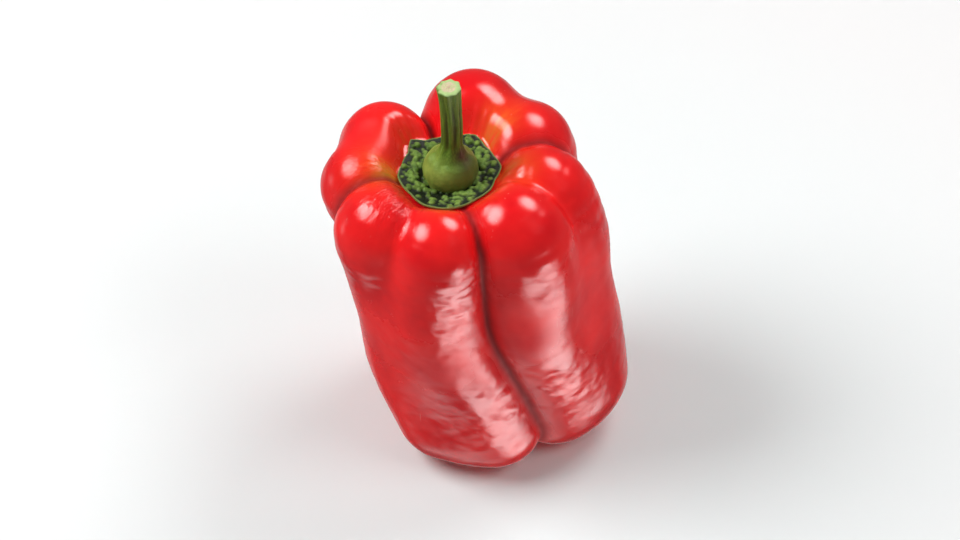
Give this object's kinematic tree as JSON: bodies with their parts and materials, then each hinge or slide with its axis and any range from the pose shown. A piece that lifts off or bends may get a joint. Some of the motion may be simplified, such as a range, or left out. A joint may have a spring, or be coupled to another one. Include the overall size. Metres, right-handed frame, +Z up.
{
  "type": "bell pepper",
  "caption": "Upright blocky bell pepper with deep furrows between its lobes, a dished top, a ragged calyx collar and a ridged cut stem.",
  "frame": {"origin": "on the floor that the lobe tips stand on, under the middle of the whole pepper's bounding box", "axes": "+Z up, towards the stem; +X is the side that the foot of the leaning fruit stands out towards; -Y is the side with the deepest furrow"},
  "size_m": [0.0968, 0.0864, 0.1403],
  "materials": {
    "skin": "smooth waxy saturated red pepper skin, very glossy, with an orange tint round the calyx",
    "calyx_green": "dark green wrinkled leaf-like calyx with knobs and pits and a paler thin rim",
    "stem_green": "satin light green ridged stem, a purple-brown stain low on one side and a rough pale cut end"
  },
  "bodies": {
    "root": {"fruit_body": "skin", "calyx": "calyx_green", "stem": "stem_green"}
  },
  "joints": []
}
